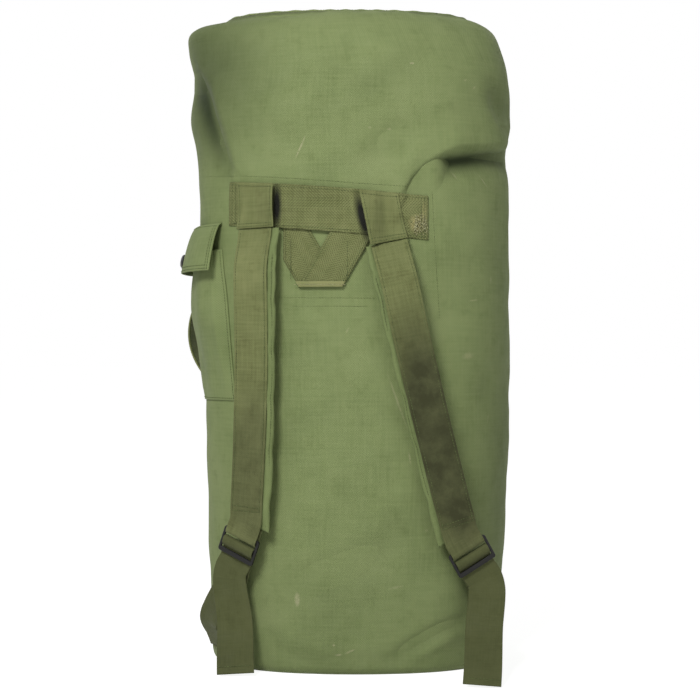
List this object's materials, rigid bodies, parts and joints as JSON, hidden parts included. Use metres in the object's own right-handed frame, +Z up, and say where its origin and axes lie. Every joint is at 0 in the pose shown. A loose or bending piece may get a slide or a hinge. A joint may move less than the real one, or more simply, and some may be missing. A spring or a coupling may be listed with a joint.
{
  "type": "duffel bag",
  "caption": "Tall top-loading nylon duffel bag with padded shoulder straps, a snapped side pocket, a side handle and a folded mouth held by a staple and snap hook.",
  "frame": {"origin": "middle of the base panel's underside, on the floor that the bag stands on", "axes": "+Z up along the bag toward its mouth, -Y toward the shoulder straps, -X toward the side pocket"},
  "size_m": [0.41, 0.3693, 0.805],
  "materials": {
    "nylon": "olive nylon duck, plain weave, softly creased",
    "webbing": "olive brown nylon webbing, coarse weave",
    "dark_webbing": "darker olive webbing, coarse weave",
    "black_plastic": "moulded, dull sheen",
    "black_metal": "black lacquer",
    "dark_brass": "dark, dull"
  },
  "bodies": {
    "bag": {"body_shell": "nylon", "base_panel": "nylon", "base_binding": "webbing", "back_seam": "nylon", "back_reinforcement": "nylon", "yoke_web_left": "webbing", "yoke_web_right": "webbing", "yoke_band": "webbing", "left_strap_head": "webbing", "right_strap_head": "webbing", "left_load_web": "dark_webbing", "right_load_web": "dark_webbing", "left_lower_anchor": "webbing", "right_lower_anchor": "webbing", "pocket_panel": "nylon", "pocket_hem": "nylon", "pocket_snap_stud": "dark_brass", "handle_patch_upper": "webbing", "handle_patch_lower": "webbing", "mouth_hem": "nylon", "hook_tab_patch": "webbing"},
    "pocket_flap": {"pocket_flap": "nylon", "flap_snap_cap": "black_metal", "flap_snap_socket": "dark_brass"},
    "side_handle": {"side_handle": "webbing"},
    "left_strap": {"left_strap_pad": "nylon", "left_strap_web": "webbing"},
    "left_slide": {"left_slide": "black_plastic", "left_tail_web": "dark_webbing"},
    "right_strap": {"right_strap_pad": "nylon", "right_strap_web": "webbing"},
    "right_slide": {"right_slide": "black_plastic", "right_tail_web": "dark_webbing"},
    "mouth_right": {"mouth_part_right": "nylon", "tongue_right": "webbing", "grommet_right": "dark_brass"},
    "mouth_left": {"mouth_part_left": "nylon", "tongue_left": "webbing", "grommet_left": "dark_brass"},
    "mouth_front": {"mouth_part_front": "nylon", "tongue_front": "webbing", "grommet_front": "dark_brass"},
    "mouth_back": {"mouth_part_back": "nylon", "tongue_back": "webbing", "staple_plate": "dark_brass", "staple": "dark_brass"},
    "hook_tab": {"hook_tab": "webbing"},
    "hook_eye": {"hook_eye": "black_metal"},
    "snap_hook": {"snap_hook": "black_metal", "gate_pin": "dark_brass"},
    "hook_gate": {"hook_gate": "black_metal"}
  },
  "joints": [
    {"name": "pocket_flap_hinge", "type": "hinge", "parent": "bag", "child": "pocket_flap", "pos_m": [-0.2085, 0, 0.534], "axis": [0, 1, 0], "range_deg": [0, 110]},
    {"name": "side_handle_swing", "type": "hinge", "parent": "bag", "child": "side_handle", "pos_m": [-0.1436, 0.1122, 0.402], "axis": [-0.0337, -0.0011, 0.9994], "range_deg": [-30, 25]},
    {"name": "left_strap_swing", "type": "hinge", "parent": "bag", "child": "left_strap", "pos_m": [-0.117, -0.1455, 0.525], "axis": [-1, 0, 0], "range_deg": [0, 25], "deforming": ["left_load_web"]},
    {"name": "right_strap_swing", "type": "hinge", "parent": "bag", "child": "right_strap", "pos_m": [0.038, -0.1577, 0.513], "axis": [-1, 0, 0], "range_deg": [0, 25], "deforming": ["right_load_web"]},
    {"name": "left_slide_tilt", "type": "hinge", "parent": "left_strap", "child": "left_slide", "pos_m": [-0.13358, -0.13567, 0.16441], "axis": [-0.8077, 0.4591, 0.37], "range_deg": [0, 12]},
    {"name": "right_slide_tilt", "type": "hinge", "parent": "right_strap", "child": "right_slide", "pos_m": [0.12996, -0.14024, 0.15122], "axis": [-0.8398, -0.1904, -0.5084], "range_deg": [0, 12]},
    {"name": "mouth_right_fold", "type": "hinge", "parent": "bag", "child": "mouth_right", "pos_m": [0.1405, 0, 0.7909], "axis": [0, 1, 0], "range_deg": [0, 160]},
    {"name": "mouth_left_fold", "type": "hinge", "parent": "bag", "child": "mouth_left", "pos_m": [-0.1595, 0, 0.7909], "axis": [0, -1, 0], "range_deg": [0, 116]},
    {"name": "mouth_front_fold", "type": "hinge", "parent": "bag", "child": "mouth_front", "pos_m": [-0.0095, -0.0912, 0.7909], "axis": [1, 0, 0], "range_deg": [0, 109]},
    {"name": "mouth_back_fold", "type": "hinge", "parent": "bag", "child": "mouth_back", "pos_m": [-0.0095, 0.0912, 0.7909], "axis": [-1, 0, 0], "range_deg": [0, 36]},
    {"name": "hook_tab_swing", "type": "hinge", "parent": "bag", "child": "hook_tab", "pos_m": [-0.0055, 0.147, 0.7107], "axis": [1, 0, 0], "range_deg": [0, 120]},
    {"name": "hook_eye_swing", "type": "hinge", "parent": "hook_tab", "child": "hook_eye", "pos_m": [-0.0055, 0.1602, 0.6405], "axis": [1, 0, 0], "range_deg": [0, 50]},
    {"name": "hook_swivel", "type": "hinge", "parent": "hook_eye", "child": "snap_hook", "pos_m": [-0.0055, 0.1602, 0.6242], "axis": [0, 0, 1], "continuous": true},
    {"name": "hook_gate_hinge", "type": "hinge", "parent": "snap_hook", "child": "hook_gate", "pos_m": [0.0023, 0.1602, 0.6136], "axis": [0, 1, 0], "range_deg": [0, 25], "stiffness_Nm_per_rad": 0.01}
  ],
  "couplings": [
    {"joint": "mouth_left_fold", "follows": "mouth_right_fold", "ratio": 0.72},
    {"joint": "mouth_front_fold", "follows": "mouth_right_fold", "ratio": 0.68},
    {"joint": "mouth_back_fold", "follows": "mouth_right_fold", "ratio": 0.22}
  ]
}
